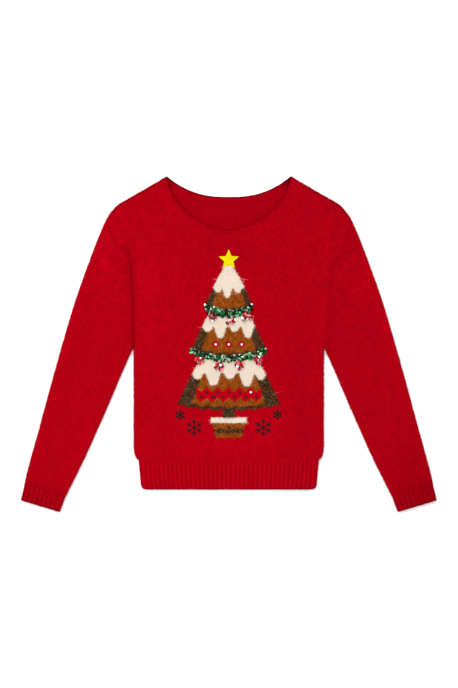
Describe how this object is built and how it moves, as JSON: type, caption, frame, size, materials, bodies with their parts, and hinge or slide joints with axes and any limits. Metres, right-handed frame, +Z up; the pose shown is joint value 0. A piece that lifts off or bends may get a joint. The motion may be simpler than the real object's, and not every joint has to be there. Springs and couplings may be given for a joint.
{
  "type": "christmas sweater",
  "caption": "Knitted long-sleeved sweater laid flat, with a round ribbed neck, ribbed cuffs and hem, and a felt star on the front.",
  "frame": {"origin": "middle of the outline, on the surface that the sweater lies on", "axes": "+X across the garment from cuff to cuff, +Y from the hem to the neck, +Z up out of the front"},
  "size_m": [0.831, 0.67, 0.0103],
  "materials": {
    "red_knit": "brushed soft wool-blend jersey, matte with a short nap",
    "red_rib": "ribbed knit of the same yarn",
    "yellow_felt": "pressed felt, matte"
  },
  "bodies": {
    "root": {"front_panel": "red_knit", "back_panel": "red_knit", "right_sleeve": "red_knit", "left_sleeve": "red_knit", "right_cuff": "red_rib", "left_cuff": "red_rib", "hem_rib": "red_rib", "neck_band": "red_rib", "felt_star": "yellow_felt"}
  },
  "joints": []
}
